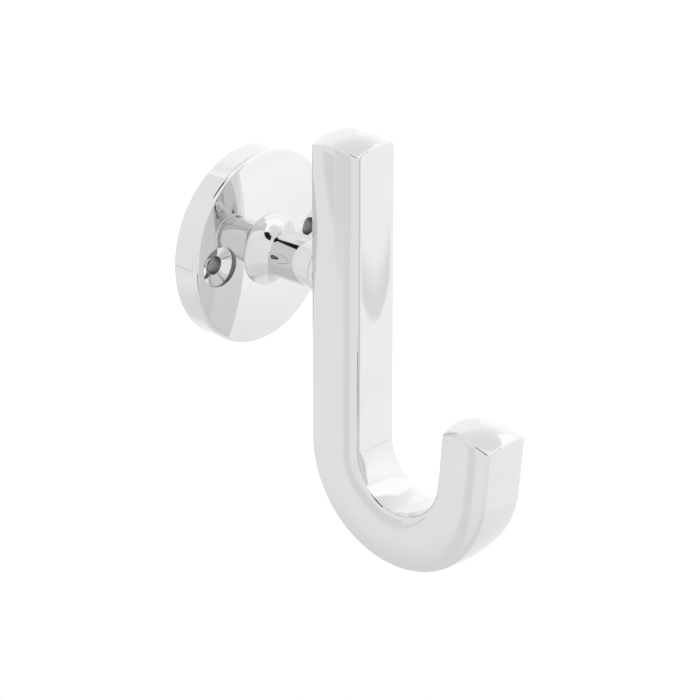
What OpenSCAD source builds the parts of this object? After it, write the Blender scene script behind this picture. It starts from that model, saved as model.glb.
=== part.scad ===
// Single wall hook: a round domed wall plate, a turned stem and a J-shaped square bar.
// Millimetres. The origin is the middle of the wall plate's back, on the wall.
// The hook stands out from the wall along -Y, and +Z is up.

/* [Wall plate] */
// Diameter of the wall plate
plate_d = 45; // [40:0.5:60]
// Thickness of the plate at its rim
plate_rim = 6; // [5:0.1:8]
// Rise of the domed front face from the rim to the middle
plate_rise = 2.2; // [1.5:0.1:4]
// Radius of the plate's front edge
plate_edge_r = 0.9; // [0.3:0.1:1.5]
// Depth of the shallow relief in the plate's back
relief_depth = 0.8; // [0.4:0.1:1.2]
// Width of the flat ring that rests on the wall
land_w = 3; // [2:0.1:4]

/* [Wall screw holes] */
// Distance between the two screw holes
hole_spacing = 31; // [30:0.5:33]
// Diameter of each screw hole
hole_d = 4.2; // [4:0.1:4.6]
// Diameter of each countersink
countersink_d = 9.2; // [8:0.1:9.6]
// Depth of each countersink's shallow cone
cone_depth = 1; // [0.8:0.1:2]
// Depth of the straight lip above each countersink's cone
lip_depth = 0.7; // [0.5:0.1:1]

/* [Stem] */
// Diameter of the stem's foot on the plate
foot_d = 16.8; // [16:0.1:18]
// Height of the foot's straight edge
foot_edge = 0.25; // [0.15:0.05:0.6]
// Radius of the hollow sweep from the foot to the waist
cove_r = 6; // [4.5:0.1:7]
// Diameter of the waist
waist_d = 10.9; // [10:0.1:11.2]
// Diameter of the thin ring at the bar
ring_d = 12.6; // [11.4:0.1:12.8]
// Distance from the wall to the ring
ring_out = 24.5; // [23:0.1:24.7]

/* [Hook bar] */
// Thickness of the square bar over its crowned faces
bar_size = 14; // [12:0.5:16]
// Rise of each crowned face above its edges
crown_rise = 0.55; // [0.3:0.05:0.8]
// Radius of the bar's long corners
corner_r = 1.1; // [0.6:0.1:2]
// Distance from the wall to the middle of the upright
bar_out = 32.4; // [31.9:0.1:36]
// Height of the upright's top corners above the stem's axis
bar_top = 30.9; // [20:0.1:50]
// Depth of the bend's centre below the stem's axis
bend_drop = 38.2; // [25:0.1:60]
// Radius of the bend, at the middle of the bar
bend_r = 18.2; // [14:0.1:24]
// Angle through which the bar bends
bend_angle = 175; // [165:1:180]
// Straight length of the tip, from the bend to its corners
tip_len = 12.9; // [8:0.1:25]
// Radius of the domed ends
dome_r = 15; // [12:0.5:25]

/* [Fasteners] */
// Diameter of the machine screw that holds the stem
screw_d = 5; // [4:0.1:5]
// Length of its thread in the stem
screw_grip = 7.5; // [5:0.1:8]
// Diameter of the screw's head
head_d = 9.5; // [8:0.1:9.6]
// Height of the screw's head
head_h = 2.75; // [2:0.05:2.8]
// Outer diameter of the lock washer
washer_d = 9.2; // [8.4:0.1:9.5]
// Thickness of the lock washer
washer_h = 1.2; // [0.8:0.1:1.3]
// Diameter of the locating pin between plate and stem
pin_d = 2; // [1.5:0.1:2.2]
// Length of the locating pin
pin_len = 4.6; // [3:0.1:5]
// Distance of the pin from the stem's axis
pin_offset = 4.65; // [4.5:0.05:4.8]
// Diameter of the stud between stem and bar
stud_d = 6; // [5:0.1:6]
// Length of the stud
stud_len = 15; // [10:0.1:15.4]
// Width across the flats of the sockets in screw and stud
socket_af = 3; // [2.5:0.1:3.2]

/* [Fits] */
// Radial clearance of a plain hole round a screw or washer
hole_clearance = 0.3; // [0.2:0.05:0.4]
// Radial clearance of the pin, the threads and the seats
thread_clearance = 0.04; // [0.02:0.01:0.08]
// Space left at the bottom of a blind hole
end_clearance = 0.4; // [0.2:0.1:0.6]

/* [Hidden] */
$fn = 96;

// Extra depth of a cut past the face that it opens
past = 1;

plate_r = plate_d / 2;
foot_r = foot_d / 2;
waist_r = waist_d / 2;
ring_r = ring_d / 2;

// Radius of the circle that bows by rise over a half width
function bow_radius(half_width, rise) = (half_width ^ 2 + rise ^ 2) / (2 * rise);

// Wall plate's front dome
plate_top = plate_rim + plate_rise;
plate_bow_r = bow_radius(plate_r, plate_rise);
plate_bow_y = plate_top - plate_bow_r;
function dome_height(r) = plate_bow_y + sqrt(plate_bow_r ^ 2 - r ^ 2);

// Centre of the plate's edge rounding, which touches both the rim and the dome
edge_x = plate_r - plate_edge_r;
edge_y = plate_bow_y + sqrt((plate_bow_r - plate_edge_r) ^ 2 - edge_x ^ 2);
edge_tilt = atan2(edge_x, edge_y - plate_bow_y);

// Flat seat for the foot, cut into the middle of the dome
stem_seat = dome_height(foot_r + thread_clearance);

// Stack of washer and head in the counterbore, from the head's outer face at head_y
counterbore_r = max(head_d, washer_d) / 2 + hole_clearance;
head_y = relief_depth;
washer_y = head_y + head_h;
counterbore_y = washer_y + washer_h;

// Countersinks, measured at each hole's own axis
lip_y = dome_height(hole_spacing / 2) - lip_depth;
cone_y = lip_y - cone_depth;

// Bar section: each face is an arc, and a small circle at each corner touches both its arcs
bar_half = bar_size / 2;
crown_r = bow_radius(bar_half - crown_rise, crown_rise);
crown_x = bar_half - crown_r;
corner_gap = crown_r - corner_r;
corner_at = (crown_x + sqrt(2 * corner_gap ^ 2 - crown_x ^ 2)) / 2;
corner_tilt = atan2(corner_at, corner_at - crown_x);
corner_reach = corner_at * sqrt(2) + corner_r;

quarter_turns = [0, 90, 180, 270];

// Flat seat in the back of the bar for the stem's ring
seat_r = ring_r + thread_clearance;
bar_seat = bar_out - bar_half + crown_r - sqrt(crown_r ^ 2 - seat_r ^ 2) + 0.1;

// The sweep is an arc that meets the waist without an edge
sweep_rise = foot_r - waist_r;
sweep_len = sqrt(cove_r ^ 2 - (cove_r - sweep_rise) ^ 2);
sweep_y = stem_seat + foot_edge;

// Depths of the stem's holes and the stud's place, half in the stem and half in the bar
screw_hole = screw_grip + end_clearance;
stud_hole = stud_len / 2 + end_clearance;
stud_y = bar_seat - stud_len / 2;
pin_y = stem_seat - pin_len / 2;
pin_hole = pin_len / 2 + end_clearance;
socket_r = socket_af / sqrt(3);
thread_chamfer = 0.5;

// Turns a shape that is drawn along +Z to point out of the wall
module out_of_wall() {
    rotate([90, 0, 0]) children();
}

// A rod from a distance out of the wall, drawn along +Z
module rod(r, from, length) {
    translate([0, 0, from]) cylinder(r = r, h = length);
}

// A wedge that opens between two directions, given as angles from the X axis
module wedge(from, to, reach) {
    polygon([
        [0, 0],
        reach * [cos(from), sin(from)],
        2 * reach * [cos((from + to) / 2), sin((from + to) / 2)],
        reach * [cos(to), sin(to)]
    ]);
}

// Half section of the wall plate: flat back, straight rim, rounded edge, domed front
module plate_profile() {
    difference() {
        intersection() {
            square([plate_r, plate_top]);
            translate([0, plate_bow_y]) circle(r = plate_bow_r);
        }
        translate([edge_x, edge_y]) wedge(0, 90 - edge_tilt, 2 * plate_edge_r);
    }
    translate([edge_x, edge_y]) intersection() {
        wedge(0, 90 - edge_tilt, 2 * plate_edge_r);
        circle(r = plate_edge_r);
    }
}

// One countersunk hole for a wood screw
module screw_hole_cut() {
    rod(hole_d / 2, -past, plate_top + past);
    translate([0, 0, cone_y])
        cylinder(r1 = hole_d / 2, r2 = countersink_d / 2, h = cone_depth);
    rod(countersink_d / 2, lip_y, plate_top);
}

module wall_plate() {
    color("gainsboro") out_of_wall() difference() {
        rotate_extrude() plate_profile();
        rod(plate_r - land_w, -past, relief_depth + past);
        rod(foot_r + thread_clearance, stem_seat, plate_top);
        for (side = [-1, 1]) translate([side * hole_spacing / 2, 0, 0]) screw_hole_cut();
        rod(screw_d / 2 + hole_clearance, -past, plate_top + past);
        rod(counterbore_r, -past, counterbore_y + past);
        translate([0, pin_offset, 0]) rod(pin_d / 2 + thread_clearance, stem_seat - pin_hole, plate_top);
    }
}

module plate_screw() {
    color("silver") out_of_wall() difference() {
        union() {
            rod(head_d / 2, head_y, head_h);
            rod(screw_d / 2, washer_y, stem_seat + screw_grip - thread_chamfer - washer_y);
            translate([0, 0, stem_seat + screw_grip - thread_chamfer])
                cylinder(r1 = screw_d / 2, r2 = screw_d / 2 - thread_chamfer, h = thread_chamfer);
        }
        translate([0, 0, head_y - past]) cylinder(r = socket_r, h = head_h * 0.6 + past, $fn = 6);
    }
}

module lock_washer() {
    color("silver") out_of_wall() difference() {
        rod(washer_d / 2, washer_y, washer_h);
        rod(screw_d / 2 + thread_clearance, washer_y - past, washer_h + 2 * past);
    }
}

module plate_pin() {
    color("silver") out_of_wall() translate([0, pin_offset, 0]) rod(pin_d / 2, pin_y, pin_len);
}

// Half section of the stem's outside: foot, hollow sweep, straight waist and thin ring
module stem_profile() {
    translate([0, stem_seat]) square([foot_r, foot_edge]);
    difference() {
        translate([0, sweep_y]) square([foot_r, sweep_len]);
        translate([waist_r + cove_r, sweep_y + sweep_len]) circle(r = cove_r);
    }
    translate([0, sweep_y + sweep_len]) square([waist_r, ring_out - sweep_y - sweep_len]);
    translate([0, ring_out]) square([ring_r, bar_seat - ring_out]);
}

module stem() {
    color("gainsboro") out_of_wall() difference() {
        rotate_extrude() stem_profile();
        rod(screw_d / 2 + thread_clearance, stem_seat - past, screw_hole + past);
        rod(stud_d / 2 + thread_clearance, bar_seat - stud_hole, stud_hole + past);
        translate([0, pin_offset, 0])
            rod(pin_d / 2 + thread_clearance, stem_seat - past, pin_hole + past);
    }
}

module hook_stud() {
    color("silver") out_of_wall() translate([0, 0, stud_y]) difference() {
        union() {
            cylinder(r1 = stud_d / 2 - thread_chamfer, r2 = stud_d / 2, h = thread_chamfer);
            rod(stud_d / 2, thread_chamfer, stud_len - 2 * thread_chamfer);
            translate([0, 0, stud_len - thread_chamfer])
                cylinder(r1 = stud_d / 2, r2 = stud_d / 2 - thread_chamfer, h = thread_chamfer);
        }
        translate([0, 0, -past]) cylinder(r = socket_r, h = socket_af + past, $fn = 6);
    }
}

// The bar's section without its corners: four crowned faces
module section_faces() {
    difference() {
        intersection_for (turn = quarter_turns)
            rotate(turn) translate([crown_x, 0]) circle(r = crown_r);
        at_corners() wedge(corner_tilt, 90 - corner_tilt, 2 * corner_r);
    }
}

// The four rounded corners of the bar's section
module section_corners() {
    at_corners() intersection() {
        wedge(corner_tilt, 90 - corner_tilt, 2 * corner_r);
        circle(r = corner_r);
    }
}

module at_corners() {
    for (turn = quarter_turns) rotate(turn) translate([corner_at, corner_at]) children();
}

module bar_section() {
    section_faces();
    section_corners();
}

// The last stretch of a bar under its dome, for one part of the section.
// The sphere's poles lie level and point at two corners.
module dome_end(length, cap) {
    intersection() {
        translate([0, 0, length - cap]) linear_extrude(height = dome_r) children();
        translate([0, 0, length - sqrt(dome_r ^ 2 - corner_reach ^ 2)])
            rotate([90, 0, 45]) sphere(r = dome_r);
    }
}

// A straight length of bar along +Z that ends in a dome, measured to the dome's corners
module domed_bar(length) {
    cap = min(length, dome_r / 3);
    if (length > cap) linear_extrude(height = length - cap) bar_section();
    dome_end(length, cap) section_faces();
    dome_end(length, cap) section_corners();
}

// Joins lengths of bar that only touch. At a hundredth of their size, ends that were turned by
// different angles meet within the solids' tolerance.
module joined() {
    scale(100) for (i = [0 : $children - 1]) scale(0.01) children(i);
}

// Places a shape from the bend's own plane: angle 0 is at the upright, and 90 at the lowest point
module in_bend() {
    translate([0, -bend_r, 0]) rotate([-90, 0, 0]) rotate([0, -90, 0]) children();
}

// The bar alone: upright, bend and tip
module bent_bar() {
    joined() {
        domed_bar(bar_top + bend_drop);
        in_bend() rotate_extrude(angle = bend_angle) translate([bend_r, 0]) bar_section();
        in_bend() rotate(bend_angle) translate([bend_r, 0, 0]) rotate([-90, 0, 0]) domed_bar(tip_len);
    }
}

module hook() {
    color("gainsboro") difference() {
        translate([0, -bar_out, -bend_drop]) bent_bar();
        out_of_wall() {
            rod(seat_r, 0, bar_seat);
            rod(stud_d / 2 + thread_clearance, bar_seat - past, stud_hole + past);
        }
    }
}

wall_plate();
plate_screw();
lock_washer();
plate_pin();
stem();
hook_stud();
hook();
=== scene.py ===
import math

import bmesh
import bpy
from mathutils import Matrix, Vector


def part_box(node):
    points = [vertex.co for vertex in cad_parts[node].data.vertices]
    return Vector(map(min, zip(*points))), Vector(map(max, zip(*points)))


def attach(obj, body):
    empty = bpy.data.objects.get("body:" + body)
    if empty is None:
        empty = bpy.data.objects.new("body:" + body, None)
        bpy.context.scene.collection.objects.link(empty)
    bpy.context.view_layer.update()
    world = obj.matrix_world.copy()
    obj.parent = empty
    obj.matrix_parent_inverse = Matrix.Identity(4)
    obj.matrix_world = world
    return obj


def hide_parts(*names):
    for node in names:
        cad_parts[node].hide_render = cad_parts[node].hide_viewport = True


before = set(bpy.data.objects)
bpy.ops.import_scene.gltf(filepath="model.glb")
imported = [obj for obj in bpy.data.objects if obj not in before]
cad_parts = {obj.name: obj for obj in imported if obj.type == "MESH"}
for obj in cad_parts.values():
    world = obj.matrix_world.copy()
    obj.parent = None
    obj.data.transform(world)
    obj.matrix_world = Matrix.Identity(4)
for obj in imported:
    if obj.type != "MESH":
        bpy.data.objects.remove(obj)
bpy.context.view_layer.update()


# Hook: a square bar with crowned faces, bent to a J and domed at both ends.
# It is cast in zinc, polished and chromed, and a hidden stud screws it to the stem.
hook_low, hook_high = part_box("hook")
bar_size = hook_high.x - hook_low.x
upright_y = hook_high.y - bar_size / 2
crown_rise = 0.00055
corner_radius = 0.0011
bend_radius = 0.0182
bend_angle = math.radians(175)
bend_centre = Vector((0, upright_y - bend_radius, hook_low.z + bend_radius + bar_size / 2))
tip_length = 0.0129
dome_radius = 0.015
dome_edge_radius = 0.0006
crown_steps, corner_steps, bend_steps, dome_rings = 12, 8, 72, 14

half_bar = bar_size / 2
crown_radius = ((half_bar - crown_rise) ** 2 + crown_rise ** 2) / (2 * crown_rise)
crown_centre = half_bar - crown_radius
inner_gap = crown_radius - corner_radius
corner_place = (crown_centre + math.sqrt(2 * inner_gap ** 2 - crown_centre ** 2)) / 2
crown_end = math.atan2(corner_place, corner_place - crown_centre)
corner_reach = corner_place * math.sqrt(2) + corner_radius
dome_drop = math.sqrt(dome_radius ** 2 - corner_reach ** 2)
upright_top = hook_high.z - dome_radius + dome_drop


def section_outline():
    """The bar's section as (across, outward) pairs: a crown arc and a corner arc for each side."""
    side = []
    for step in range(crown_steps):
        angle = crown_end * (2 * step / crown_steps - 1)
        side.append((crown_centre + crown_radius * math.cos(angle), crown_radius * math.sin(angle)))
    for step in range(corner_steps):
        angle = crown_end + (math.pi / 2 - 2 * crown_end) * step / corner_steps
        side.append((corner_place + corner_radius * math.cos(angle),
                     corner_place + corner_radius * math.sin(angle)))
    outline = []
    for turn in range(4):
        outline += side
        side = [(-b, a) for a, b in side]
    return outline


def edit_mesh():
    """The mesh that is being edited, for picking and placing its points."""
    return bmesh.from_edit_mesh(bpy.context.edit_object.data)


def picked():
    """The numbers of the points that are selected in the mesh that is being edited."""
    return [vert.index for vert in edit_mesh().verts if vert.select]


def extrude_by(x, y, z):
    """Extrudes the selected ring of edges along a straight line."""
    bpy.ops.mesh.extrude_region_move(TRANSFORM_OT_translate={"value": (x, y, z)})


def dome_height(across, outward):
    """Height of a domed end over its corners. A small arc joins the dome to the bar's wall."""
    point = Vector(sorted((abs(outward), abs(across)), reverse=True))
    centre, radius = Vector((crown_centre, 0)), crown_radius
    if math.atan2(point.y, point.x - crown_centre) > crown_end:
        centre, radius = Vector((corner_place, corner_place)), corner_radius
    inset = max(radius - (point - centre).length, 0)
    sphere = math.sqrt(dome_radius ** 2 - point.length_squared)
    slope = point.dot((point - centre).normalized()) / sphere
    if inset >= dome_edge_radius * (1 - math.sin(math.atan(slope))):
        return sphere - dome_drop
    arc_rise = math.sqrt(dome_edge_radius ** 2 - (dome_edge_radius - inset) ** 2)
    arc_start = dome_edge_radius * (slope - math.hypot(1, slope))
    return sphere - dome_drop - slope * inset + arc_start + arc_rise


def close_with_dome(centre, across, outward, along):
    """Fills the ring of edges that is picked and lifts the fill to a dome with a rounded edge."""
    bpy.ops.mesh.edge_face_add()
    inset = 0
    for degrees in range(10, 71, 10):
        step = dome_edge_radius * (1 - math.cos(math.radians(degrees))) - inset
        bpy.ops.mesh.inset(thickness=step, use_even_offset=True)
        inset += step
    for ring in range(dome_rings, 0, -1):
        bpy.ops.mesh.extrude_region_move()
        bpy.ops.transform.resize(value=(ring / (ring + 1),) * 3, center_override=centre)
    bpy.ops.mesh.extrude_region_move()
    bpy.ops.mesh.merge(type="CENTER")
    mesh = edit_mesh()
    for vert in mesh.verts:
        offset = vert.co - centre
        if offset.dot(along) > -1e-6 and offset.length < bar_size:
            vert.co += along * dome_height(offset.dot(across), offset.dot(outward))
    bmesh.update_edit_mesh(bpy.context.edit_object.data)


outline = section_outline()
top_centre = Vector((0, upright_y, upright_top))
bpy.ops.object.select_all(action="DESELECT")
bpy.ops.mesh.primitive_circle_add(vertices=len(outline), radius=bar_size, location=(0, 0, 0))
hook = bpy.context.object
hook.name = hook.data.name = "hook_bar"
for vert, (across, outward) in zip(hook.data.vertices, outline):
    vert.co = top_centre + Vector((across, outward, 0))

bpy.ops.object.mode_set(mode="EDIT")
bpy.ops.mesh.select_all(action="SELECT")
top_ring = picked()
# Close rings beside each bend and dome keep the shading of the long flat stretches true
near, upright_steps, tip_steps = 0.0008, 12, 4
between = (upright_top - bend_centre.z - 2 * near) / upright_steps
for length in (near, *[between] * upright_steps, near):
    extrude_by(0, 0, -length)
bpy.ops.mesh.spin(steps=bend_steps, angle=bend_angle, center=bend_centre, axis=(1, 0, 0))
tip_along = Vector((0, -math.sin(bend_angle), -math.cos(bend_angle)))
tip_outward = Vector((0, math.cos(bend_angle), -math.sin(bend_angle)))
tip_centre = bend_centre + bend_radius * tip_outward + tip_length * tip_along
for length in (near, *[(tip_length - 2 * near) / tip_steps] * tip_steps, near):
    extrude_by(*(tip_along * length))
close_with_dome(tip_centre, Vector((1, 0, 0)), tip_outward, tip_along)

bpy.ops.mesh.select_all(action="DESELECT")
mesh = edit_mesh()
mesh.verts.ensure_lookup_table()
for index in top_ring:
    mesh.verts[index].select = True
mesh.select_flush(True)
close_with_dome(top_centre, Vector((1, 0, 0)), Vector((0, 1, 0)), Vector((0, 0, 1)))
bpy.ops.mesh.select_all(action="SELECT")
bpy.ops.mesh.normals_make_consistent(inside=False)
bpy.ops.object.mode_set(mode="OBJECT")


def cut_away(piece, cutter):
    """Takes the cutter's shape out of a piece and removes the cutter."""
    cut = piece.modifiers.new("cut", "BOOLEAN")
    cut.object, cut.operation, cut.solver = cutter, "DIFFERENCE", "EXACT"
    bpy.ops.object.select_all(action="DESELECT")
    bpy.context.view_layer.objects.active = piece
    piece.select_set(True)
    bpy.ops.object.modifier_apply(modifier=cut.name)
    bpy.data.objects.remove(cutter)


def bore(piece, radius, start_out, end_out, height=0.0):
    """Bores a round hole square to the wall, between two distances out from it."""
    bpy.ops.object.select_all(action="DESELECT")
    bpy.ops.mesh.primitive_cylinder_add(vertices=64, radius=radius, depth=end_out - start_out,
                                        location=(0, 0, 0))
    cutter = bpy.context.object
    cutter.data.transform(Matrix.Rotation(math.pi / 2, 4, "X"))
    cutter.data.transform(Matrix.Translation((0, -(start_out + end_out) / 2, height)))
    cut_away(piece, cutter)


stem_low, stem_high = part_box("stem")
stem_seat, stem_end = -stem_high.y, -stem_low.y
stud_low, stud_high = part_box("hook_stud")
thread_clearance, end_clearance, overrun = 0.00004, 0.0004, 0.002
stud_hole_radius = stud_high.x + thread_clearance
sharp_angle = math.radians(35)
bore(hook, stud_hole_radius, stem_end - overrun, -stud_low.y + end_clearance)
bpy.ops.object.shade_smooth_by_angle(angle=sharp_angle)


def polished_chrome(name, tone):
    """Bright plating over polished metal. The buffing wheel leaves faint waves and a fine haze."""
    material = bpy.data.materials.new(name)
    material.use_nodes = True
    nodes, links = material.node_tree.nodes, material.node_tree.links
    shader = nodes["Principled BSDF"]
    shader.inputs["Metallic"].default_value = 1.0
    place = nodes.new("ShaderNodeTexCoord").outputs["Object"]

    haze = nodes.new("ShaderNodeTexNoise")
    haze.inputs["Scale"].default_value, haze.inputs["Detail"].default_value = 90, 4
    links.new(place, haze.inputs["Vector"])
    for socket, low, high in (("Roughness", 0.012, 0.035), ("Base Color", tone * 1.01, tone * 0.985)):
        spread = nodes.new("ShaderNodeMapRange")
        spread.inputs["From Min"].default_value, spread.inputs["From Max"].default_value = 0.35, 0.65
        spread.inputs["To Min"].default_value, spread.inputs["To Max"].default_value = low, high
        links.new(haze.outputs[0], spread.inputs["Value"])
        links.new(spread.outputs[0], shader.inputs[socket])

    waves = nodes.new("ShaderNodeTexNoise")
    waves.inputs["Scale"].default_value, waves.inputs["Detail"].default_value = 140, 1
    links.new(place, waves.inputs["Vector"])
    bump = nodes.new("ShaderNodeBump")
    bump.inputs["Strength"].default_value, bump.inputs["Distance"].default_value = 0.2, 0.00002
    links.new(waves.outputs[0], bump.inputs["Height"])
    links.new(bump.outputs["Normal"], shader.inputs["Normal"])
    return material


hook.data.materials.append(polished_chrome("hook_chrome", 0.75))
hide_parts("hook")
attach(hook, "root")


# Stem: turned from bar, with a foot that sweeps in to a straight waist, and a thin ring at the hook.
# It is chromed like the rest, in a colour a little darker than the hook's: painted shade. A screw holds it
# on the plate and a stud holds the hook on it.
def arc(centre_r, centre_out, radius, start, end, steps):
    """Stations (radius, distance out) along an arc in a turned profile, angles in degrees."""
    angles = [math.radians(start + (end - start) * step / steps) for step in range(steps + 1)]
    return [(centre_r + radius * math.cos(a), centre_out + radius * math.sin(a)) for a in angles]


def turn_profile(name, stations, segments):
    """Turns a profile about the stem's axis: one ring of edges for each (radius, distance out)."""
    bpy.ops.object.select_all(action="DESELECT")
    bpy.ops.mesh.primitive_circle_add(vertices=segments, radius=stations[0][0], location=(0, 0, 0))
    turned = bpy.context.object
    turned.name = turned.data.name = name
    turned.data.transform(Matrix.Rotation(math.pi / 2, 4, "X"))
    turned.data.transform(Matrix.Translation((0, -stations[0][1], 0)))
    bpy.ops.object.mode_set(mode="EDIT")
    bpy.ops.mesh.select_all(action="SELECT")
    for (radius, out), (next_radius, next_out) in zip(stations, stations[1:]):
        extrude_by(0, out - next_out, 0)
        scale = next_radius / radius
        bpy.ops.transform.resize(value=(scale, 1, scale), center_override=(0, -next_out, 0))
    return turned


def finish_turning():
    """Closes the turned mesh, points its faces outwards and smooths all but its sharp edges."""
    bpy.ops.mesh.select_all(action="SELECT")
    bpy.ops.mesh.remove_doubles(threshold=1e-6)
    bpy.ops.mesh.select_all(action="SELECT")
    bpy.ops.mesh.normals_make_consistent(inside=False)
    bpy.ops.object.mode_set(mode="OBJECT")
    bpy.ops.object.shade_smooth_by_angle(angle=sharp_angle)


foot_radius = stem_high.x
foot_edge, foot_wall = 0.00025, 0.00008
sweep_radius = 0.006
waist_radius = 0.00545
ring_radius = 0.0063
ring_out = 0.0245
ring_edge_radius = 0.0001
sweep_steps, waist_steps, stem_segments = 40, 8, 160
sweep_tilt = math.acos(1 - (foot_radius - waist_radius) / sweep_radius)
sweep_end = stem_seat + foot_edge + sweep_radius * math.sin(sweep_tilt)

stem_stations = [(foot_radius, stem_seat), (foot_radius, stem_seat + foot_wall)]
stem_stations += arc(waist_radius + sweep_radius, sweep_end, sweep_radius,
                     180 + math.degrees(sweep_tilt), 180, sweep_steps)
stem_stations += [(waist_radius, sweep_end + (ring_out - sweep_end) * step / waist_steps)
                  for step in range(1, waist_steps + 1)]
stem_stations += arc(ring_radius - ring_edge_radius, ring_out + ring_edge_radius,
                     ring_edge_radius, -90, 0, 3)
stem_stations += [(ring_radius, stem_end)]

stem = turn_profile("stem_turned", stem_stations, stem_segments)
bpy.ops.mesh.edge_face_add()
bpy.ops.mesh.select_all(action="DESELECT")
mesh = edit_mesh()
for vert in mesh.verts:
    vert.select = abs(vert.co.y + stem_seat) < 1e-7
mesh.select_flush(True)
bpy.ops.mesh.edge_face_add()
finish_turning()

screw_radius, screw_tip = 0.0025, -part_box("plate_screw")[0].y
pin_low, pin_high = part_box("plate_pin")
pin_hole_radius, pin_height = pin_high.x + thread_clearance, (pin_low.z + pin_high.z) / 2
bore(stem, screw_radius + thread_clearance, stem_seat - overrun, screw_tip + end_clearance)
bore(stem, stud_hole_radius, -stud_high.y - end_clearance, stem_end + overrun)
bore(stem, pin_hole_radius, stem_seat - overrun, -pin_low.y + end_clearance, pin_height)
bpy.ops.object.shade_smooth_by_angle(angle=sharp_angle)
# Painted shade: the stem's chrome colour is a little darker than the hook's, where it sits between the plate
# and the bar
stem.data.materials.append(polished_chrome("stem_chrome", 0.73))
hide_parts("stem")
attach(stem, "root")


# Wall plate: cast, with a domed front and a rounded edge, relieved at the back inside a flat ring.
# Two countersunk holes take wood screws, and a counterbore in the back holds the stem's screw.
plate_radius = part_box("wall_plate")[1].x
plate_edge_radius = 0.0009
plate_rim, plate_rise = 0.006, 0.0022
relief_depth, land_width = 0.0008, 0.003
seat_radius = foot_radius + thread_clearance
counterbore_radius, counterbore_out = 0.00505, 0.00475
screw_way_radius = 0.0028
hole_offset, hole_radius = 0.0155, 0.0021
countersink_radius, cone_depth, lip_depth = 0.0046, 0.001, 0.0007
plate_bow = (plate_radius ** 2 + plate_rise ** 2) / (2 * plate_rise)
plate_bow_out = plate_rim + plate_rise - plate_bow
edge_r = plate_radius - plate_edge_radius
edge_out = plate_bow_out + math.sqrt((plate_bow - plate_edge_radius) ** 2 - edge_r ** 2)
edge_end = math.degrees(math.atan2(edge_out - plate_bow_out, edge_r))
back_edge_radius, wall_ring = 0.00015, 0.0003
dome_steps, plate_segments, hole_segments = 56, 256, 96


def plate_dome(radius):
    """How far out from the wall the domed front lies, at a distance from its middle."""
    return plate_bow_out + math.sqrt(plate_bow ** 2 - radius ** 2)


dome_start = edge_r + plate_edge_radius * math.cos(math.radians(edge_end))
plate_stations = [(screw_way_radius, stem_seat), (seat_radius, stem_seat)]
dome_radii = [seat_radius + (dome_start - seat_radius) * step / dome_steps for step in range(1, dome_steps)]
plate_stations += [(radius, plate_dome(radius)) for radius in dome_radii]
plate_stations += arc(edge_r, edge_out, plate_edge_radius, edge_end, 0, 10)
plate_stations += [(plate_radius, out) for out in (edge_out - wall_ring, wall_ring, back_edge_radius)]
plate_stations += arc(plate_radius - back_edge_radius, back_edge_radius, back_edge_radius, -30, -90, 2)
plate_stations += [(plate_radius - land_width, 0), (plate_radius - land_width, relief_depth),
                   (counterbore_radius, relief_depth), (counterbore_radius, counterbore_out),
                   (screw_way_radius, counterbore_out), (screw_way_radius, stem_seat)]
plate = turn_profile("wall_plate_cast", plate_stations, plate_segments)
finish_turning()

hole_floor = plate_dome(hole_offset) - lip_depth
cone_floor = hole_floor - cone_depth
cutter_start, cutter_end = -0.001, 0.012
for side in (-1, 1):
    cutter = turn_profile("countersink_cutter", [
        (hole_radius, cutter_start), (hole_radius, cone_floor), (countersink_radius, hole_floor),
        (countersink_radius, cutter_end)], hole_segments)
    bpy.ops.mesh.edge_face_add()
    bpy.ops.mesh.select_all(action="DESELECT")
    mesh = edit_mesh()
    for vert in mesh.verts:
        vert.select = abs(vert.co.y + cutter_start) < 1e-7
    mesh.select_flush(True)
    bpy.ops.mesh.edge_face_add()
    finish_turning()
    cutter.data.transform(Matrix.Translation((side * hole_offset, 0, 0)))
    cut_away(plate, cutter)
bore(plate, pin_hole_radius, -pin_high.y - end_clearance, stem_seat + overrun, pin_height)
bpy.ops.object.shade_smooth_by_angle(angle=sharp_angle)


def maths(tree, operation, first, second=0.0):
    """One maths node. Each of its two inputs is a number or another node's output."""
    node = tree.nodes.new("ShaderNodeMath")
    node.operation = operation
    for socket, value in zip(node.inputs, (first, second)):
        if isinstance(value, (int, float)):
            socket.default_value = value
        else:
            tree.links.new(value, socket)
    return node.outputs["Value"]


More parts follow.
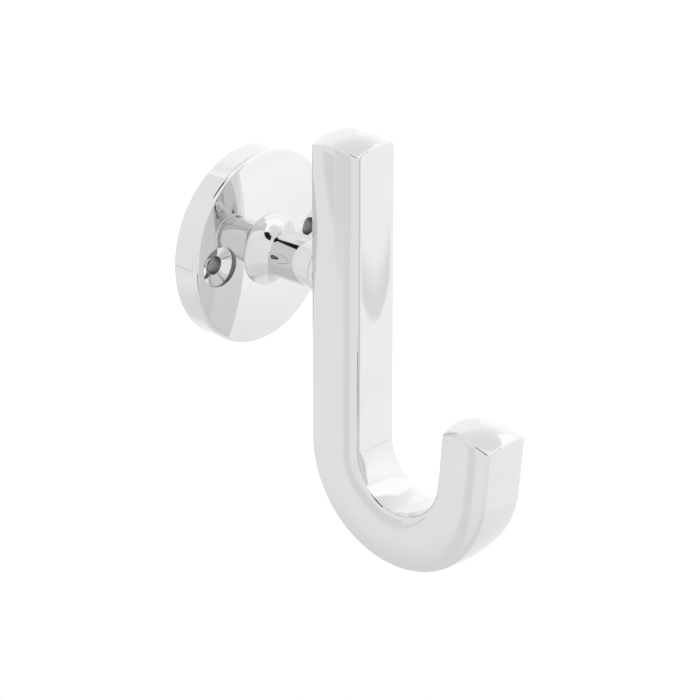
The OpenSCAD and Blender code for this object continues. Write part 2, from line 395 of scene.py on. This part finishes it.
def shade_and_dull_bores(material, bore_margin=0.00002, lip_margin=0.00003):
    """Paints shade into the bores and onto the lips of the countersinks by darkening the plating there, and
    makes them dull, as no wheel reaches them.
    """
    tree = material.node_tree
    shader = tree.nodes["Principled BSDF"]
    parts = tree.nodes.new("ShaderNodeSeparateXYZ")
    tree.links.new(tree.nodes.new("ShaderNodeTexCoord").outputs["Object"], parts.inputs[0])
    across = maths(tree, "SUBTRACT", maths(tree, "ABSOLUTE", parts.outputs["X"]), hole_offset)
    across, up = maths(tree, "POWER", across, 2), maths(tree, "POWER", parts.outputs["Z"], 2)
    reach = maths(tree, "SQRT", maths(tree, "ADD", across, up))
    in_bore = maths(tree, "LESS_THAN", reach, hole_radius + bore_margin)
    near_lip = maths(tree, "LESS_THAN", reach, countersink_radius + lip_margin)
    past_cone = maths(tree, "GREATER_THAN", reach, countersink_radius - lip_margin)
    at_front = maths(tree, "LESS_THAN", parts.outputs["Y"], -cone_floor)
    lip = maths(tree, "MULTIPLY", maths(tree, "MULTIPLY", near_lip, past_cone), at_front)
    inside = maths(tree, "ADD", in_bore, lip)
    # The darker base colour is painted shade in the recesses; the higher roughness is plating that no wheel
    # has polished
    for name, dull_and_shade in (("Base Color", 0.3), ("Roughness", 0.35)):
        socket = shader.inputs[name]
        blend = tree.nodes.new("ShaderNodeMix")
        tree.links.new(inside, blend.inputs[0])
        tree.links.new(socket.links[0].from_socket, blend.inputs[2])
        blend.inputs[3].default_value = dull_and_shade
        tree.links.new(blend.outputs[0], socket)
    return material


plate.data.materials.append(shade_and_dull_bores(polished_chrome("plate_chrome", 0.77)))
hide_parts("wall_plate")
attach(plate, "root")


# Hidden fasteners: the screw, its washer, the pin and the stud are bright zinc-plated steel.
# They keep their construction solids and are seen only from behind or when taken apart.
def zinc_plate(name):
    """Zinc from a barrel bath: a bluish grey with soft mottling, small scuffs and a satin sheen."""
    material = bpy.data.materials.new(name)
    material.use_nodes = True
    nodes, links = material.node_tree.nodes, material.node_tree.links
    shader = nodes["Principled BSDF"]
    shader.inputs["Metallic"].default_value = 1.0
    place = nodes.new("ShaderNodeTexCoord").outputs["Object"]

    mottling = nodes.new("ShaderNodeTexNoise")
    mottling.inputs["Scale"].default_value, mottling.inputs["Detail"].default_value = 600, 5
    links.new(place, mottling.inputs["Vector"])
    tint = nodes.new("ShaderNodeMix")
    tint.data_type = "RGBA"
    links.new(mottling.outputs[0], tint.inputs["Factor"])
    for socket, colour in ((tint.inputs[6], (0.52, 0.53, 0.56, 1)), (tint.inputs[7], (0.72, 0.73, 0.74, 1))):
        socket.default_value = colour
    links.new(tint.outputs[2], shader.inputs["Base Color"])
    sheen = nodes.new("ShaderNodeMapRange")
    sheen.inputs["To Min"].default_value, sheen.inputs["To Max"].default_value = 0.42, 0.22
    links.new(mottling.outputs[0], sheen.inputs["Value"])
    links.new(sheen.outputs[0], shader.inputs["Roughness"])

    scuffs = nodes.new("ShaderNodeTexNoise")
    scuffs.inputs["Scale"].default_value, scuffs.inputs["Detail"].default_value = 2500, 2
    links.new(place, scuffs.inputs["Vector"])
    bump = nodes.new("ShaderNodeBump")
    bump.inputs["Strength"].default_value, bump.inputs["Distance"].default_value = 0.3, 0.00002
    links.new(scuffs.outputs[0], bump.inputs["Height"])
    links.new(bump.outputs["Normal"], shader.inputs["Normal"])
    return material


zinc = zinc_plate("bright_zinc")
for node in ("plate_screw", "lock_washer", "plate_pin", "hook_stud"):
    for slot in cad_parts[node].material_slots:
        slot.material = zinc


# Floor: a pale studio sheet below the hook. The tent's light and shade, with its soft shadows and dark
# patches, is painted into its colour, and a painted glow of the same pattern makes it shine. It takes the
# hook's shadow too.
hook_middle = Vector((0, -0.036, -0.045))
floor_drop = 0.25
floor_radius = 2.4
painted_glow = 0.2


def soft_step(tree, value, start, end):
    node = tree.nodes.new("ShaderNodeMapRange")
    node.interpolation_type = "SMOOTHSTEP"
    tree.links.new(value, node.inputs["Value"])
    node.inputs["From Min"].default_value, node.inputs["From Max"].default_value = start, end
    return node.outputs["Result"]


def card(tree, level, turn, height, turns, heights, brightness, edges):
    """Sets the level inside a soft-edged card, given by its turns and heights in degrees."""
    mask = 1.0
    for value, (low, high), edge in ((turn, turns, edges[0]), (height, heights, edges[1])):
        mask = maths(tree, "MULTIPLY", soft_step(tree, value, low - edge / 2, low + edge / 2), mask)
        past_high = soft_step(tree, value, high - edge / 2, high + edge / 2)
        mask = maths(tree, "MULTIPLY", maths(tree, "SUBTRACT", 1.0, past_high), mask)
    blend = tree.nodes.new("ShaderNodeMix")
    tree.links.new(mask, blend.inputs[0])
    tree.links.new(level, blend.inputs[2])
    blend.inputs[3].default_value = brightness
    return blend.outputs[0]


def level_by_height(tree, height, stops, ceiling=1.5):
    """Level of one side of the tent, from (degrees, level) stops with straight runs between them.
    A colour ramp holds no more than 1, so its levels are kept as shares of a ceiling."""
    ramp = tree.nodes.new("ShaderNodeValToRGB")
    tree.links.new(maths(tree, "DIVIDE", maths(tree, "ADD", height, 90), 180), ramp.inputs[0])
    elements = ramp.color_ramp.elements
    elements[1].position = 1
    for degrees, level in stops:
        stop = elements[0] if degrees == -90 else elements.new((degrees + 90) / 180)
        stop.color = (level / ceiling,) * 3 + (1,)
    elements[len(elements) - 1].color = stop.color
    return maths(tree, "MULTIPLY", ramp.outputs["Color"], ceiling)


def studio_level(tree, direction):
    """Brightness of the studio tent in a direction: 1 is white, and each card has its own place.
    Turn is 0 straight out from the wall and grows towards the right; height is above level."""
    parts = tree.nodes.new("ShaderNodeSeparateXYZ")
    tree.links.new(direction, parts.inputs[0])
    x, y, z = (parts.outputs[axis] for axis in "XYZ")
    turn = maths(tree, "DEGREES", maths(tree, "ARCTAN2", x, maths(tree, "MULTIPLY", y, -1.0)))
    height = maths(tree, "DEGREES", maths(tree, "ARCSINE", z))

    # The left and the front are even, and brighter towards the big cards. The right is brighter.
    left = level_by_height(tree, height, ((-90, 0.78), (-66, 0.85), (-54, 0.87), (-42, 0.86), (-38, 0.88),
                                          (-32, 0.94), (-25, 0.985), (-18, 0.965), (30, 1.0), (56, 0.97),
                                          (80, 0.87)))
    towards_cards = maths(tree, "MULTIPLY", soft_step(tree, turn, -45, 15), soft_step(tree, height, 0, 50))
    left = maths(tree, "ADD", maths(tree, "MULTIPLY", towards_cards, 0.17), left)
    right = level_by_height(tree, height, ((-90, 0.90), (-66, 0.97), (-46, 0.975), (-38, 0.99),
                                           (-31, 1.04), (-25, 1.09),
                                           (-20, 1.12), (-13, 1.12), (2, 1.18), (20, 1.23), (30, 1.22),
                                           (42, 1.10), (58, 0.99), (74, 0.945)))
    on_right = maths(tree, "SUBTRACT", soft_step(tree, turn, 26, 34), soft_step(tree, turn, 165, 180))
    blend = tree.nodes.new("ShaderNodeMix")
    for socket, value in zip((blend.inputs[0], blend.inputs[2], blend.inputs[3]), (on_right, left, right)):
        tree.links.new(value, socket)
    level = blend.outputs[0]

    # The big cards on the right and overhead, then the two behind
    sloping = maths(tree, "ADD", height, maths(tree, "MULTIPLY", turn, 0.24))
    level = card(tree, level, turn, sloping, (-4, 99), (49, 73), 1.31, (9, 5))
    level = card(tree, level, turn, height, (103, 130), (-12, 32), 1.24, (3, 6))
    level = card(tree, level, turn, height, (103, 128), (-20, 14), 1.31, (4, 8))
    level = card(tree, level, turn, height, (129, 165), (-18, 45), 1.15, (3, 10))
    # The dark room past the edge of the backdrop, and the dull gaps between the tent's sides
    level = card(tree, level, turn, height, (152, 190), (-20, 2), 0.04, (5, 4))
    level = card(tree, level, turn, height, (27, 30.5), (-26, 37), 0.72, (3, 6))
    level = card(tree, level, turn, height, (-121, -114.5), (-45, -8), 0.86, (3, 4))
    level = card(tree, level, turn, height, (-128, -113), (-19, -8), 0.86, (3, 4))
    # Soft shadows on the table in front on the right, and on the left side
    across = maths(tree, "POWER", maths(tree, "SUBTRACT", turn, 46.5), 2)
    bowed = maths(tree, "SUBTRACT", height, maths(tree, "MULTIPLY", across, 0.0048))
    level = card(tree, level, turn, bowed, (34, 63), (-22.5, -19.65), 0.9, (4, 1.5))
    level = card(tree, level, turn, bowed, (32, 65), (-26, -20.9), 1.11, (4, 0.35))
    leaning = maths(tree, "ADD", height, maths(tree, "MULTIPLY", maths(tree, "ADD", turn, 128), 0.147))
    level = card(tree, level, turn, leaning, (-139, -128), (-18.3, -16.3), 0.84, (5, 0.8))
    # The opening in the roof, which shows the dark room above
    return card(tree, level, turn, height, (-105, -17), (58, 78), 0.02, (6, 3))


bpy.ops.object.select_all(action="DESELECT")
bpy.ops.mesh.primitive_circle_add(vertices=128, radius=floor_radius, fill_type="NGON", location=(0, 0, 0))
floor = bpy.context.object
floor.name = floor.data.name = "floor"
floor.data.transform(Matrix.Translation((0, 0, hook_low.z - floor_drop)))

painted_light_sheet = bpy.data.materials.new("floor_painted_light")
painted_light_sheet.use_nodes = True
tree = painted_light_sheet.node_tree
shader = tree.nodes["Principled BSDF"]
place = tree.nodes.new("ShaderNodeTexCoord").outputs["Object"]
away = tree.nodes.new("ShaderNodeVectorMath")
away.operation = "SUBTRACT"
tree.links.new(place, away.inputs[0])
away.inputs[1].default_value = hook_middle
outward = tree.nodes.new("ShaderNodeVectorMath")
outward.operation = "NORMALIZE"
tree.links.new(away.outputs[0], outward.inputs[0])
# Painted light: the tent's light and shade, seen from the hook's middle, goes into the floor's colour and
# into a glow
level = studio_level(tree, outward.outputs[0])
tree.links.new(maths(tree, "MULTIPLY", level, 1 - painted_glow), shader.inputs["Base Color"])
tree.links.new(level, shader.inputs["Emission Color"])
shader.inputs["Emission Strength"].default_value = painted_glow
shader.inputs["Roughness"].default_value = 1.0
shader.inputs["Specular IOR Level"].default_value = 0.0
floor.data.materials.append(painted_light_sheet)


# Light: the studio tent itself, white on all sides, with soft cards and a small opening in the roof.
world = bpy.data.worlds.new("studio_tent")
bpy.context.scene.world = world
world.use_nodes = True
tree = world.node_tree
sight = tree.nodes.new("ShaderNodeTexCoord").outputs["Generated"]
tree.links.new(studio_level(tree, sight), tree.nodes["Background"].inputs["Color"])
tree.nodes["Background"].inputs["Strength"].default_value = 1.0
bpy.context.scene.view_settings.view_transform = "Standard"


# Camera: above and to the left of the hook, with a long lens.
camera_azimuth, camera_elevation, camera_roll = (math.radians(a) for a in (-48.877, 24.012, 0.128))
camera_distance = 0.7354
camera_focus = Vector((-0.00494, -0.03592, -0.01494))
camera_data = bpy.data.cameras.new("camera")
camera_data.lens = 172.8
camera = bpy.data.objects.new("camera", camera_data)
bpy.context.scene.collection.objects.link(camera)
back = Vector((math.sin(camera_azimuth) * math.cos(camera_elevation),
               -math.cos(camera_azimuth) * math.cos(camera_elevation), math.sin(camera_elevation)))
right = Vector((math.cos(camera_azimuth), math.sin(camera_azimuth), 0))
right.rotate(Matrix.Rotation(camera_roll, 3, back))
up = back.cross(right)
place = Matrix((right, up, back)).transposed().to_4x4()
place.translation = camera_focus + camera_distance * back
camera.matrix_world = place
camera_data.clip_start, camera_data.clip_end = 0.05, 20
bpy.context.scene.camera = camera
